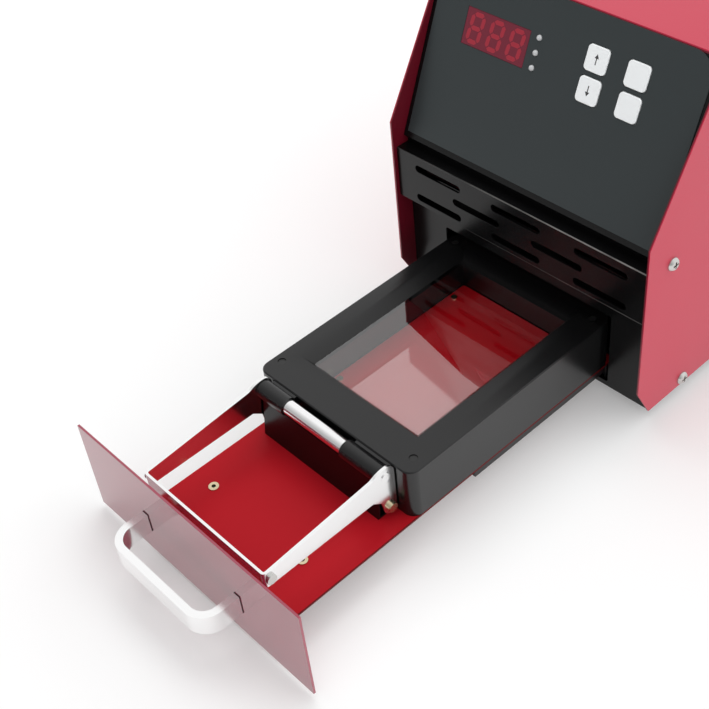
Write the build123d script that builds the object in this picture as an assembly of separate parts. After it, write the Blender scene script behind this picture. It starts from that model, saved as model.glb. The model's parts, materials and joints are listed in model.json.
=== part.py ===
from build123d import *
import math
import os

os.makedirs("parts", exist_ok=True)

# Everything is drawn in millimetres in the machine's own frame.
# X runs to the viewer's right, Y into the machine, Z up.
# Y = 0 is the upright front edge of the side sheets, Z = 0 their lower edge.

# Red sheet cover
half_width = 85.5
sheet = 1.2
body_depth = 256.0
toe_height = 19.1
toe_depth = 10.4
kink_height = 111.6
edge_run = 46.4
edge_rise = 79.0
bend_radius = 3.0
fit_gap = 0.2
inner_half = half_width - sheet
cover_top = kink_height + edge_rise
inner_top = cover_top - sheet

# Black front plate, set back below and leaning back above the bend
face_y = 8.2
lower_y = toe_depth + 0.6
bend_height = 100.3
jog_low = bend_height - 3.6
flange_y = face_y + 14.0
lean_run = 37.3
lean_rise = cover_top - bend_height
lean_length = math.hypot(lean_run, lean_rise)
lean_c = lean_run / lean_length
lean_s = lean_rise / lean_length
plate_half = inner_half - fit_gap
mouth_half = 58.0
mouth_low = 3.0
mouth_high = 48.7

# Vent plate standing in front of it
vent_front = 2.2
vent_low = 64.0
vent_high = 95.4
vent_half = plate_half - fit_gap
vent_window_half = plate_half - 12.0
slot_length = 33.0
slot_height = 4.4
slot_pitch = 54.8
slot_low = 69.0
slot_row_rise = 9.4

# Control panel, positions as (across, up the lean)
overlay_half = half_width - 4.0
overlay_low = 3.2
overlay_high = lean_length - 0.5
overlay_corner = 12.0
overlay_skin = 0.4
lens_width = 42.4
lens_height = 20.0
lens_across = -39.6
lens_up = overlay_high - 29.2
lamp_across = -13.4
lamp_up = overlay_high - 29.0
lamp_pitch = 7.5
lamp_diameter = 3.0
button_size = 12.6
button_corner = 2.2
button_across = (21.7, 45.0)
button_up = (overlay_high - 36.0, overlay_high - 20.8)
button_proud = 1.0
button_gap = 0.35
board_depth = 12.0
board_thick = 1.6
control_across = -2.0
control_width = 124.0
control_height = 46.0

# Drawer, drawn 220.6 mm clear of the side sheets
travel = lower_y + 219.8
panel_half = half_width - 3.7
panel_low = -3.9
panel_high = 52.8
panel_back = lower_y - 0.4 - travel
panel_front = panel_back - sheet
tray_top = 12.5
tray_bottom = tray_top - sheet
tray_half = 55.0
tray_rear = 20.0

# Handle of bent flat bar
bar_thick = 4.0
bar_low = 13.5
bar_high = 25.4
grip_leg = 34.8
grip_reach = 22.6
grip_radius = 12.0
spacer_thick = 0.4

# Glass lid
lid_front = -130.6
lid_rear = 17.0
lid_top = 43.4
lid_corner = 6.0
pane_top = 40.0
pane_thick = 2.5
window_left = -38.0
window_right = 36.5
window_near = -107.3
window_far = 3.0
rebate = 3.5

# Press bed
bed_top = 23.0
bed_thick = 1.5
bed_gap = 0.5
pin_diameter = 4.0
pin_clearance = 0.05

# Clamp lever and its hinge rod
rod_y = -137.0
rod_z = 41.0
rod_diameter = 8.0
rod_clearance = 0.05
sleeve_diameter = 10.0
sleeve_outer = 43.0
sleeve_left_inner = -24.0
sleeve_right_inner = 18.0
yoke_half = 44.9
yoke_sheet = 1.5
yoke_front = -213.0
yoke_low = 29.3
yoke_high = 38.7
yoke_flange_half = 34.5
yoke_flange_end = rod_y - 11.0
crank_radius = 5.8
lobe_y = rod_y + 1.8
lobe_z = rod_z - 22.0
lobe_radius = 3.9
wall_y_top = rod_y - 2.0
wall_y_foot = rod_y - 5.0
wall_high = 35.5

# Telescopic runners, positions measured out from the centre line
fixed_outer = 54.6
fixed_inner = 45.6
middle_outer = 53.0
middle_inner = 47.0
middle_low = 4.6
middle_high = 10.6
middle_front = -86.0
runner_length = 210.0
tongue_out = 51.0

# Inner deck and flash lamp
deck_z = 54.0
deck_front = 70.0
deck_rear = 250.0
lamp_near = window_near + travel - 5.0
lamp_far = window_far + travel + 5.0
lamp_half = 41.0
reflector_rise = 40.0
reflector_crown = 26.0
reflector_skin = 0.8
tube_diameter = 8.0
tube_across = 15.0
tube_z = 80.0
strip_in = lamp_half + 8.8
strip_out = inner_half - 2.1
can_diameter = strip_out - strip_in - 2.4
can_height = 58.0
can_across = -(strip_out + strip_in) / 2
can_rows = (118.0, 152.0, 186.0)

board_in = strip_in + 0.2
board_out = strip_out - 2.2
board_near = 96.0
board_far = 238.0
post_height = 6.0

# Feet and rear fittings
foot_across = half_width - 19.5
foot_height = 7.0
foot_diameter = 16.0
rear_wall = body_depth - 1.0
inlet_across = -45.0
rocker_across = -4.0
fuse_across = 24.0
rear_fit_z = 132.0
flange_thick = 2.0
rocker_tilt = 8.0

lean = Plane(origin=(0, face_y, bend_height), x_dir=(1, 0, 0), z_dir=(0, -lean_s, lean_c)).location


def block(x0, x1, y0, y1, z0, z1):
    return Pos((x0 + x1) / 2, (y0 + y1) / 2, (z0 + z1) / 2) * Box(x1 - x0, y1 - y0, z1 - z0)


def side_prism(points, x0, x1):
    face = make_face(Polyline(*[(y, z) for y, z in points], close=True))
    return extrude(Plane.YZ.offset(x0) * face, amount=x1 - x0)


def front_prism(points, y0, y1):
    face = make_face(Polyline(*points, close=True))
    sketch = Plane(origin=(0, y0, 0), x_dir=(1, 0, 0), z_dir=(0, -1, 0)) * face
    return extrude(sketch, amount=y1 - y0, dir=(0, 1, 0))


def post(x, y, z0, z1, diameter):
    return Pos(x, y, (z0 + z1) / 2) * Cylinder(diameter / 2, z1 - z0)


def along_x(y, z, x0, x1, diameter):
    return Pos((x0 + x1) / 2, y, z) * Rot(0, 90, 0) * Cylinder(diameter / 2, x1 - x0)


def along_y(x, z, y0, y1, diameter):
    return Pos(x, (y0 + y1) / 2, z) * Rot(90, 0, 0) * Cylinder(diameter / 2, y1 - y0)


def lean_block(across, up, low, high, width, height, corner=0.0):
    if corner > 0:
        face = RectangleRounded(width, height, corner)
    else:
        face = Rectangle(width, height)
    return lean * Pos(across, up, low) * extrude(face, amount=high - low)


def lean_post(across, up, low, high, diameter):
    return lean * Pos(across, up, low) * extrude(Circle(diameter / 2), amount=high - low)


def inside_cover(shape):
    room = block(-plate_half, plate_half, -5, body_depth + 5, -10, inner_top - 0.1)
    top_edges = room.edges().filter_by(Axis.Y).group_by(Axis.Z)[-1]
    return shape & fillet(top_edges, bend_radius)


def lean_y(z):
    return face_y + max(0.0, z - bend_height) * lean_run / lean_rise


# The side screws of the cover as (depth, height)
cover_screw_spots = ((18.8, 93.5), (37.8, 4.6), (236.0, 93.5), (236.0, 7.0))
cover_screw_shank = 3.6
cover_screw_head = 7.4


def cover():
    outer = front_prism(
        [(-half_width, -1), (-half_width, cover_top), (half_width, cover_top), (half_width, -1)],
        -1,
        body_depth,
    )
    top_edges = outer.edges().filter_by(Axis.Y).group_by(Axis.Z)[-1]
    outer = fillet(top_edges, bend_radius)
    inner = block(-inner_half, inner_half, -2, body_depth + 1, -2, inner_top)
    inner_edges = inner.edges().filter_by(Axis.Y).group_by(Axis.Z)[-1]
    inner = fillet(inner_edges, bend_radius - sheet)
    outline = side_prism(
        [
            (toe_depth, 0),
            (0, toe_height),
            (0, kink_height),
            (edge_run, cover_top),
            (body_depth, cover_top),
            (body_depth, 0),
        ],
        -half_width,
        half_width,
    )
    shape = (outer - inner) & outline
    for y, z in cover_screw_spots:
        shape -= along_x(y, z, -half_width - 1, half_width + 1, cover_screw_shank)
    # row of air slots high on each side, near the back
    for step in range(6):
        y = 176.0 + 9.0 * step
        slot = Pos(0, y, 138.0) * Box(2 * half_width + 2, 3.0, 30.0)
        shape -= fillet(slot.edges().filter_by(Axis.X), 1.4)
    return shape


def front_plate():
    rear_top = inner_top - 0.1
    y_top = lean_y(rear_top)
    set_back = sheet / lean_s
    top_back = y_top + flange_y - face_y
    line = [(lower_y, 0), (lower_y, jog_low), (face_y, bend_height), (y_top, rear_top)]
    back = [(top_back, rear_top), (flange_y, bend_height), (flange_y, 0)]
    shape = side_prism(line + back, -plate_half, plate_half)
    core = side_prism(
        [
            (lower_y + sheet, -1),
            (lower_y + sheet, jog_low),
            (face_y + set_back, bend_height),
            (y_top + set_back - sheet * lean_c / lean_s, rear_top - sheet),
            (top_back + 5, rear_top - sheet),
            (flange_y + 5, bend_height - 1),
            (flange_y + 5, -1),
        ],
        -plate_half + sheet,
        plate_half - sheet,
    )
    shape -= core
    mouth = block(-mouth_half, mouth_half, 0, 30, mouth_low, mouth_high)
    shape -= fillet(mouth.edges().filter_by(Axis.Y), 1.5)
    window_foot = slot_low + slot_row_rise
    shape -= block(-vent_window_half, vent_window_half, lower_y - 1, lower_y + 2, window_foot, vent_high - 3)
    shape -= lean_block(lens_across, lens_up, -6, 2, lens_width, lens_height)
    for step in (-1, 0, 1):
        shape -= lean_post(lamp_across, lamp_up + step * lamp_pitch, -6, 2, lamp_diameter + 0.4)
    for x in button_across:
        for t in button_up:
            side = button_size + 2 * button_gap
            shape -= lean_block(x, t, -6, 2, side, side, button_corner)
    for y, z in cover_screw_spots[:2]:
        shape -= along_x(y, z, -half_width - 1, half_width + 1, cover_screw_shank)
    return inside_cover(shape)


def vent_plate():
    tray = block(-vent_half, vent_half, vent_front, lower_y, vent_low, vent_high)
    side = vent_half - sheet
    tray -= block(-side, side, vent_front + sheet, lower_y + 1, vent_low + sheet, vent_high + 1)
    for row in range(3):
        z = slot_low + slot_row_rise * row
        if row % 2:
            centres = (-slot_pitch / 2, slot_pitch / 2)
        else:
            centres = (-slot_pitch, 0.0, slot_pitch)
        for x in centres:
            slot = Pos(x + 1.0, vent_front, z) * Box(slot_length, 6, slot_height)
            tray -= fillet(slot.edges().filter_by(Axis.Y), slot_height / 2 - 0.01)
    return tray


def panel_overlay():
    width = 2 * overlay_half
    height = overlay_high - overlay_low
    face = Rectangle(width, height)
    corners = face.vertices().group_by(Axis.Y)[-1]
    face = fillet(corners, overlay_corner)
    middle = (overlay_high + overlay_low) / 2
    shape = lean * Pos(0, middle, 0) * extrude(face, amount=overlay_skin)
    shape -= lean_block(lens_across, lens_up, -1, 2, lens_width - 1, lens_height - 1)
    for step in (-1, 0, 1):
        shape -= lean_post(lamp_across, lamp_up + step * lamp_pitch, -1, 2, lamp_diameter + 0.4)
    for x in button_across:
        for t in button_up:
            side = button_size + 2 * button_gap
            shape -= lean_block(x, t, -1, 2, side, side, button_corner)
    return shape


def display_lens():
    low = lean_block(lens_across, lens_up, -sheet - 0.8, 0, lens_width - 0.3, lens_height - 0.3)
    low -= lean_block(lens_across, lens_up, -sheet - 1, -sheet, lens_width - 3, lens_height - 3)
    rim = lean_block(lens_across, lens_up, -sheet - 0.8, -sheet - 0.1, lens_width + 4, lens_height + 4)
    rim -= lean_block(lens_across, lens_up, -sheet - 1, 0, lens_width - 3, lens_height - 3)
    raised = lean_block(lens_across, lens_up, -0.2, overlay_skin - 0.1, lens_width - 1.4, lens_height - 1.4)
    return low + rim + raised


def digit_module():
    front = -sheet - 1.0
    shape = lean_block(lens_across, lens_up, -board_depth, front - 0.2, lens_width - 3.6, lens_height - 3.6, 0.6)
    # three figure wells, each a pair of stacked squares
    for column in (-1, 0, 1):
        for half in (-0.5, 0.5):
            x = lens_across + column * 12.4
            t = lens_up + half * 6.4
            shape -= lean_block(x, t, front - 0.8, front + 1, 4.6, 3.6, 0.5)
    return shape


def indicator_lights():
    group = []
    for step in (-1, 0, 1):
        t = lamp_up + step * lamp_pitch
        body = lean_post(lamp_across, t, -board_depth, 0.2, lamp_diameter)
        dome = lean * Pos(lamp_across, t, 0.2) * Sphere(lamp_diameter / 2)
        collar = lean_post(lamp_across, t, -board_depth, -board_depth + 6.0, lamp_diameter + 0.8)
        group.append(body + dome + collar)
    return group


def button(across, up):
    cap = lean_block(across, up, -3.0, button_proud, button_size, button_size, button_corner)
    cap = fillet(cap.edges().group_by(lambda e: round((lean.inverse() * e).center().Z, 2))[-1], 0.5)
    skirt = lean_block(across, up, -4.0, -2.8, button_size + 2.0, button_size + 1.6, 1.0)
    stem = lean_post(across, up, -6.6, -3.9, 3.4)
    return cap + skirt + stem


def control_post_spots():
    spots = []
    for side in (-1, 1):
        for end in (-1, 1):
            x = control_across + side * (control_width / 2 - 4.0)
            spots.append((x, lens_up + end * (control_height / 2 - 4.0)))
    return spots


def control_board():
    low = -board_depth - board_thick
    board = lean_block(control_across, lens_up, low, -board_depth, control_width, control_height, 2.0)
    for x, t in control_post_spots():
        board -= lean_post(x, t, -20, -5, 3.2)
    return board


def board_posts():
    group = []
    for x, t in control_post_spots():
        group.append(lean_post(x, t, -board_depth, -sheet, 6.0))
    return group


def push_switches():
    group = []
    for x in button_across:
        for t in button_up:
            base = lean_block(x, t, -board_depth, -board_depth + 3.6, 6.2, 6.2)
            base += lean_post(x, t, -board_depth + 3.5, -board_depth + 4.3, 3.4)
            group.append(base)
    return group


def chassis():
    y0 = flange_y + 0.4
    rear = rear_wall
    shape = block(-plate_half, plate_half, lower_y + sheet + 0.2, rear, 0, inner_top - 0.2)
    shape -= block(-plate_half + sheet, plate_half - sheet, 0, rear - sheet, sheet, inner_top + 1)
    shape -= block(-plate_half - 1, plate_half + 1, 0, rear - 12.0, 16.0, inner_top + 1)
    shape -= block(-plate_half - 1, -plate_half + sheet, 0, y0, -1, 20.0)
    shape -= block(plate_half - sheet, plate_half + 1, 0, y0, -1, 20.0)
    for y, z in cover_screw_spots[1:]:
        shape -= along_x(y, z, -half_width - 1, half_width + 1, cover_screw_shank)
    # openings for the rear fittings
    shape -= block(inlet_across - 14.2, inlet_across + 14.2, rear - 3, rear + 1, rear_fit_z - 10.2, rear_fit_z + 10.2)
    shape -= block(rocker_across - 6.6, rocker_across + 6.6, rear - 3, rear + 1, rear_fit_z - 9.8, rear_fit_z + 9.8)
    shape -= along_y(fuse_across, rear_fit_z, rear - 3, rear + 1, 12.4)
    # rear air slots, round ended
    for row in range(5):
        for column in range(3):
            x = -42.0 + 42.0 * column
            z = 66.0 + 9.0 * row
            slot = Pos(x, rear, z) * Box(30.0, 6, 3.4)
            shape -= fillet(slot.edges().filter_by(Axis.Y), 1.69)
    shape = inside_cover(shape)
    # stiffening rib pressed down the floor and lightening holes
    for y in (60.0, 110.0, 160.0, 210.0):
        shape -= post(0, y, -1, 3, 22.0)
    return shape


def cover_screws():
    group = []
    for side in (-1, 1):
        for y, z in cover_screw_spots:
            head = Sphere(4.6) & Pos(0, 0, 4.6) * Box(12, 12, 4.4)
            head = Pos(0, 0, -2.4) * head
            head = head & Cylinder(cover_screw_head / 2, 10)
            shank = Pos(0, 0, -1.2) * Cylinder(cover_screw_shank / 2 - 0.2, 2.7)
            screw = head + shank
            turn = Rot(0, 90 * side, 0)
            group.append(Pos(side * half_width, y, z) * turn * screw)
    return group


def rubber_feet():
    group = []
    for x in (-foot_across, foot_across):
        for y in (32.0, 232.0):
            foot = Pos(x, y, 0) * Rot(180, 0, 0) * Cone(
                foot_diameter / 2, foot_diameter / 2 - 1.5, foot_height, align=(Align.CENTER, Align.CENTER, Align.MIN)
            )
            foot -= post(x, y, -foot_height - 1, -foot_height + 3.5, 7.0)
            foot -= post(x, y, -foot_height - 1, 1, 3.6)
            group.append(foot)
    return group


def tray_plate():
    plate = block(-tray_half, tray_half, panel_back, tray_rear, tray_bottom, tray_top)
    for x, y in bed_pin_spots():
        plate -= post(x, y, 0, 20, pin_diameter + 2 * pin_clearance)
    for x in (-eyelet_across, eyelet_across):
        plate -= post(x, eyelet_y, 0, 20, eyelet_shank)
    # turned-up lip at the rear end
    plate += block(-tray_half, tray_half, tray_rear - sheet, tray_rear, tray_bottom, tray_top + 9.0)
    return plate


eyelet_across = 33.6
eyelet_y = -183.0
eyelet_shank = 3.4
eyelet_flange = 5.4


def plate_eyelets():
    group = []
    for x in (-eyelet_across, eyelet_across):
        ring = post(x, eyelet_y, tray_bottom - 0.6, tray_top + 0.6, eyelet_shank)
        ring += post(x, eyelet_y, tray_top, tray_top + 0.6, eyelet_flange)
        ring += post(x, eyelet_y, tray_bottom - 0.6, tray_bottom, eyelet_flange)
        ring -= post(x, eyelet_y, 0, 20, eyelet_shank - 1.2)
        group.append(ring)
    return group


def front_panel():
    shape = block(-panel_half, panel_half, panel_front, panel_back, panel_low, panel_high)
    for x in (-grip_leg, grip_leg):
        shape -= along_y(x, (bar_low + bar_high) / 2, panel_front - 1, panel_back + 1, 3.6)
    return shape


def handle():
    reach = panel_front - spacer_thick
    front = panel_front - grip_reach
    outer_half = grip_leg + bar_thick / 2
    outer = Pos(0, (front + reach) / 2) * Rectangle(2 * outer_half, reach - front)
    outer = fillet(outer.vertices().group_by(Axis.Y)[0], grip_radius)
    inner_front = front + bar_thick
    inner = Pos(0, (inner_front + reach + 1) / 2) * Rectangle(2 * (outer_half - bar_thick), reach + 1 - inner_front)
    inner = fillet(inner.vertices().group_by(Axis.Y)[0], grip_radius - bar_thick)
    shape = Pos(0, 0, bar_low) * extrude(outer - inner, amount=bar_high - bar_low)
    for x in (-grip_leg, grip_leg):
        shape -= along_y(x, (bar_low + bar_high) / 2, reach - 12, reach + 1, 2.6)
    return shape


def handle_spacers():
    group = []
    for x in (-grip_leg, grip_leg):
        half = bar_thick / 2
        pad = block(x - half, x + half, panel_front - spacer_thick, panel_front, bar_low, bar_high)
        pad -= along_y(x, (bar_low + bar_high) / 2, panel_front - 3, panel_front + 1, 3.4)
        group.append(pad)
    return group


def handle_screws():
    group = []
    for x in (-grip_leg, grip_leg):
        z = (bar_low + bar_high) / 2
        screw = along_y(x, z, panel_back, panel_back + 2.2, 6.0)
        screw += along_y(x, z, panel_front - spacer_thick - 10, panel_back + 0.5, 2.5)
        group.append(screw)
    return group


def lid_outline(grow, z0, z1):
    return block(
        window_left - grow,
        window_right + grow,
        window_near - grow,
        window_far + grow,
        z0,
        z1,
    )


def lid_frame():
    shape = block(-tray_half, tray_half, lid_front, lid_rear, tray_top, lid_top)
    shape = fillet(shape.edges().filter_by(Axis.Z), lid_corner)
    shape = chamfer(shape.faces().sort_by(Axis.Z)[-1].edges(), 0.6)
    # sloping window sides, wider on the left
    low = Plane.XY.offset(pane_top) * Pos((window_left + window_right) / 2, (window_near + window_far) / 2)
    low = low * Rectangle(window_right - window_left, window_far - window_near)
    high_left = -45.3
    high_right = 39.6
    high_near = -110.1
    high_far = 13.9
    high = Plane.XY.offset(lid_top) * Pos((high_left + high_right) / 2, (high_near + high_far) / 2)
    high = high * Rectangle(high_right - high_left, high_far - high_near)
    shape -= loft([low.faces()[0], high.faces()[0]])
    shape -= lid_outline(rebate, tray_top - 1, pane_top - 0.02)
    shape -= lid_outline(-0.01, pane_top - 1, pane_top + 0.2)
    # hollow side rails with cross ribs left standing
    rail_bays = ((-119.0, -86.0), (-83.0, -50.0), (-47.0, -14.0), (-11.0, 8.0))
    for y0, y1 in rail_bays:
        shape -= block(-tray_half + 3, window_left - rebate - 2.5, y0, y1, tray_top - 1, lid_top - 5)
        shape -= block(window_right + rebate + 2.5, tray_half - 3, y0, y1, tray_top - 1, lid_top - 5)
    for x0, x1 in ((-40.0, -2.0), (2.0, 40.0)):
        shape -= block(x0, x1, lid_front + 3, window_near - rebate - 2.5, tray_top - 1, lid_top - 5)
    for x, y in lid_screw_spots:
        shape -= post(x, y, lid_top - 1.4, lid_top + 1, 4.4)
    return shape


lid_screw_spots = ((-49.4, -119.1), (-49.4, 9.0), (47.5, 9.0), (47.5, -121.0))


def lid_screws():
    group = []
    for x, y in lid_screw_spots:
        group.append(post(x, y, lid_top - 1.4, lid_top - 0.5, 4.2))
    return group


def lid_glass():
    return lid_outline(rebate - 0.1, pane_top - pane_thick, pane_top - 0.04)


def glass_retainer():
    shape = lid_outline(rebate - 0.1, tray_top + 0.1, pane_top - pane_thick)
    shape -= lid_outline(0, tray_top - 1, pane_top)
    return shape


def bed_pin_spots():
    x0 = window_left + bed_gap + 3.4
    x1 = window_right - bed_gap - 3.4
    y0 = window_near + 12.0
    y1 = window_far - 12.0
    return ((x0, y0), (x1, y0), (x0, y1), (x1, y1))


def press_bed():
    shape = lid_outline(-bed_gap, bed_top - bed_thick, bed_top)
    shape = fillet(shape.edges().filter_by(Axis.Z), 1.5)
    for x, y in bed_pin_spots():
        shape -= post(x, y, 0, 40, pin_diameter - 1.0)
    return shape


def bed_pins():
    group = []
    for x, y in bed_pin_spots():
        pin = post(x, y, tray_bottom - 0.8, bed_top - bed_thick, pin_diameter)
        pin += post(x, y, bed_top - bed_thick - 0.5, bed_top, pin_diameter - 1.0)
        pin += Pos(x, y, bed_top) * Sphere(1.9) & post(x, y, bed_top, bed_top + 0.7, 3.6)
        group.append(pin)
    return group


def apron_wall():
    half = sleeve_outer - 0.6
    lean_wall = side_prism(
        [
            (wall_y_foot, tray_top),
            (wall_y_top, wall_high),
            (wall_y_top + sheet, wall_high),
            (wall_y_foot + sheet, tray_top + sheet),
            (lid_front - 0.1, tray_top + sheet),
            (lid_front - 0.1, tray_top),
        ],
        -half,
        half,
    )
    for x in (-30.0, 30.0):
        lean_wall -= post(x, -135.0, tray_top - 1, tray_top + 3, 3.2)
    return lean_wall


def bearing(x0, x1):
    barrel = along_x(rod_y, rod_z, x0, x1, sleeve_diameter)
    lug = block(x0 + 1, x1 - 1, rod_y, lid_front, rod_z - 4.2, rod_z + 1.6)
    shape = barrel + lug
    shape -= along_x(rod_y, rod_z, x0 - 1, x1 + 1, rod_diameter + 2 * rod_clearance)
    return shape


def hinge_rod():
    half = yoke_half - yoke_sheet - 0.1
    shape = along_x(rod_y, rod_z, -half, half, rod_diameter)
    shape += along_x(rod_y, rod_z, -yoke_half - 0.5, yoke_half + 0.5, rod_diameter - 3.0)
    return shape


def yoke_side():
    lobe_front = (lobe_y - lobe_radius, lobe_z)
    lobe_back = (lobe_y + lobe_radius, lobe_z)
    crown = (rod_y, rod_z + crank_radius)
    heel = (rod_y + crank_radius, rod_z)
    diagonal = crank_radius * math.sqrt(0.5)
    with BuildSketch(Plane.YZ) as sketch:
        with BuildLine():
            Line(heel, lobe_back)
            ThreePointArc(lobe_back, (lobe_y, lobe_z - lobe_radius), lobe_front)
            Polyline(
                lobe_front,
                (lobe_y - lobe_radius - 1.4, lobe_z + 6.1),
                (yoke_flange_end + 2.0, yoke_low),
                (yoke_front, yoke_low),
                (yoke_front, yoke_high),
                (rod_y - 8.0, rod_z + 3.4),
                (rod_y - 4.0, rod_z + crank_radius - 0.6),
                crown,
            )
            ThreePointArc(crown, (rod_y + diagonal, rod_z + diagonal), heel)
        make_face()
    return sketch.sketch


def clamp_yoke():
    profile = yoke_side()
    shape = Part()
    for x0 in (-yoke_half, yoke_half - yoke_sheet):
        shape += extrude(Pos(x0, 0, 0) * profile, amount=yoke_sheet)
    shape += block(-yoke_half, yoke_half, yoke_front, yoke_front + yoke_sheet, yoke_low, yoke_high)
    ring = block(-yoke_half, yoke_half, yoke_front, yoke_flange_end, yoke_low, yoke_low + yoke_sheet)
    gap = block(-yoke_flange_half, yoke_flange_half, yoke_front + 5.5, yoke_flange_end + 1, 20, 40)
    gap = fillet(gap.edges().filter_by(Axis.Z).group_by(Axis.Y)[0], 3.0)
    ring -= gap
    tips = ring.edges().filter_by(Axis.Z).group_by(Axis.Y)[-1]
    shape += fillet(tips, 3.5)
    shape -= along_x(rod_y, rod_z, -60, 60, rod_diameter - 3.0)
    shape -= along_x(lobe_y, lobe_z, -60, 60, 3.0)
    for x in (-yoke_half, yoke_half):
        corner = Pos(x, yoke_front, (yoke_low + yoke_high) / 2) * Box(4, 4, 20)
        rounding = Pos(x - math.copysign(2, x), yoke_front + 2, (yoke_low + yoke_high) / 2) * Cylinder(2, 22)
        shape -= corner - rounding
    return shape


def crank_bolts():
    group = []
    for side in (-1, 1):
        x = side * yoke_half
        head = Pos(x + side * 0.9, lobe_y, lobe_z) * Rot(0, 90, 0) * Cylinder(2.7, 1.8)
        shank = Pos(x - side * 1.0, lobe_y, lobe_z) * Rot(0, 90, 0) * Cylinder(1.5, 3.0)
        collar = Pos(x - side * (yoke_sheet + 0.3), lobe_y, lobe_z) * Rot(0, 90, 0) * Cylinder(2.2, 0.6)
        group.append(head + shank + collar)
    return group


def yoke_screws():
    group = []
    for side in (-1, 1):
        x = side * yoke_half
        head = Pos(x + side * 0.7, yoke_front + 4.4, 34.0) * Rot(0, 90, 0) * Cylinder(2.7, 1.4)
        group.append(head)
    return group


def mirrored(points, side):
    if side > 0:
        return points
    return [(-x, z) for x, z in points]


def runner_fixed(side):
    points = [
        (fixed_inner, 3.4),
        (fixed_inner, 6.4),
        (fixed_inner + 1.0, 6.4),
        (fixed_inner + 1.0, 4.2),
        (fixed_outer - sheet, 4.2),
        (fixed_outer - sheet, middle_high),
        (fixed_outer, middle_high),
        (fixed_outer, sheet + sheet),
        (fixed_outer + 9.0, sheet + sheet),
        (fixed_outer + 9.0, sheet),
        (fixed_outer - sheet, sheet),
        (fixed_outer - sheet, 3.4),
    ]
    return front_prism(mirrored(points, side), lower_y + 3.0, body_depth - 13.0)


def runner_middle(side):
    t = 1.0
    points = [
        (middle_inner, middle_low),
        (middle_outer, middle_low),
        (middle_outer, middle_high),
        (middle_inner, middle_high),
        (middle_inner, middle_high - t),
        (middle_outer - t, middle_high - t),
        (middle_outer - t, middle_low + t),
        (middle_inner, middle_low + t),
    ]
    return front_prism(mirrored(points, side), middle_front, middle_front + runner_length)


def runner_inner(side):
    t = 1.2
    points = [
        (38.0, tray_bottom),
        (45.2, tray_bottom),
        (45.2, 8.5),
        (tongue_out, 8.5),
        (tongue_out, 7.2),
        (44.0, 7.2),
        (44.0, tray_bottom - t),
        (38.0, tray_bottom - t),
    ]
    return front_prism(mirrored(points, side), -198.0, -198.0 + runner_length)


def lamp_deck():
    half = plate_half - sheet - 0.2
    shape = block(-half, half, deck_front, deck_rear, sheet, deck_z + sheet)
    shape -= block(-half + sheet, half - sheet, deck_front - 1, deck_rear + 1, 0, deck_z)
    for side in (-1, 1):
        x0 = half - 12 if side > 0 else -half
        shape += block(x0, x0 + 12, deck_front, deck_rear, sheet, 2 * sheet)
    shape -= block(-lamp_half + 3, lamp_half - 3, lamp_near + 4, lamp_far - 4, deck_z - 1, deck_z + 3)
    for x, y in ((-70, 84), (-30, 84), (30, 84), (70, 84)):
        shape -= post(x, y, deck_z - 1, deck_z + 3, 9.0)
    return shape


def lamp_pane():
    base = deck_z + sheet
    return block(-lamp_half, lamp_half, lamp_near, lamp_far, base, base + 2.0)


def reflector():
    base = deck_z + sheet
    top = base + reflector_rise
    foot = lamp_half + 0.6 + reflector_skin
    crown = reflector_crown
    skin = reflector_skin
    outer = [(-foot, base), (-foot, base + 4), (-crown, top), (crown, top), (foot, base + 4), (foot, base)]
    inner = [
        (-foot + skin, base - 1),
        (-foot + skin, base + 4),
        (-crown + skin, top - skin),
        (crown - skin, top - skin),
        (foot - skin, base + 4),
        (foot - skin, base - 1),
    ]
    near = lamp_near - 0.6
    far = lamp_far + 0.6
    shape = front_prism(outer, near - skin, far + skin) - front_prism(inner, near, far)
    for x in (-tube_across, tube_across):
        shape -= along_y(x, tube_z, near - 5, far + 5, tube_diameter + 1.0)
    # fixing flanges along both feet
    for side in (-1, 1):
        x0 = foot - skin if side > 0 else -foot - 7
        shape += block(x0, x0 + 7 + skin, near - skin, far + skin, base, base + skin)
    return shape


def flash_tubes():
    group = []
    for x in (-tube_across, tube_across):
        glass = along_y(x, tube_z, lamp_near - 9, lamp_far + 9, tube_diameter)
        tip = along_y(x, tube_z, lamp_near - 12, lamp_far + 12, tube_diameter - 4)
        group.append(glass + tip)
    return group


def lamp_holders():
    group = []
    base = deck_z + sheet
    for x in (-tube_across, tube_across):
        for y0 in (lamp_near - 8.5, lamp_far + 2.5):
            holder = block(x - 6.5, x + 6.5, y0, y0 + 6.0, base, tube_z + 6.0)
            holder = fillet(holder.edges().filter_by(Axis.Y).group_by(Axis.Z)[-1], 3.0)
            holder -= along_y(x, tube_z, y0 - 1, y0 + 7, tube_diameter + 0.1)
            group.append(holder)
    return group


def capacitors():
    group = []
    base = deck_z + sheet
    for y in can_rows:
        can = post(can_across, y, base, base + can_height, can_diameter)
        can = fillet(can.edges().sort_by(Axis.Z)[-1], 2.0)
        groove = Pos(can_across, y, base + can_height - 7) * Torus(can_diameter / 2 + 0.4, 1.4)
        group.append(can - groove)
    return group


def capacitor_clamp():
    base = deck_z + sheet
    y0 = can_rows[0] - 22.0
    y1 = can_rows[-1] + 22.0
    x0 = -strip_out
    x1 = -strip_in
    high = base + 36.0
    shape = block(x0, x1, y0, y1, base, high)
    shape -= block(x0 - 1, x1 + 1, y0 + sheet, y1 - sheet, base - 1, high - sheet)
    for y in can_rows:
        shape -= post(can_across, y, base, high + 1, can_diameter + 0.2)
    shape += block(x0, x1, y0 - 8, y0 + sheet, base, base + sheet)
    shape += block(x0, x1, y1 - sheet, y1 + 8, base, base + sheet)
    return shape


def power_post_spots():
    spots = []
    for x in (board_in + 3.5, board_out - 3.5):
        for y in (board_near + 4.0, board_far - 4.0):
            spots.append((x, y))
    return spots


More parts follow.
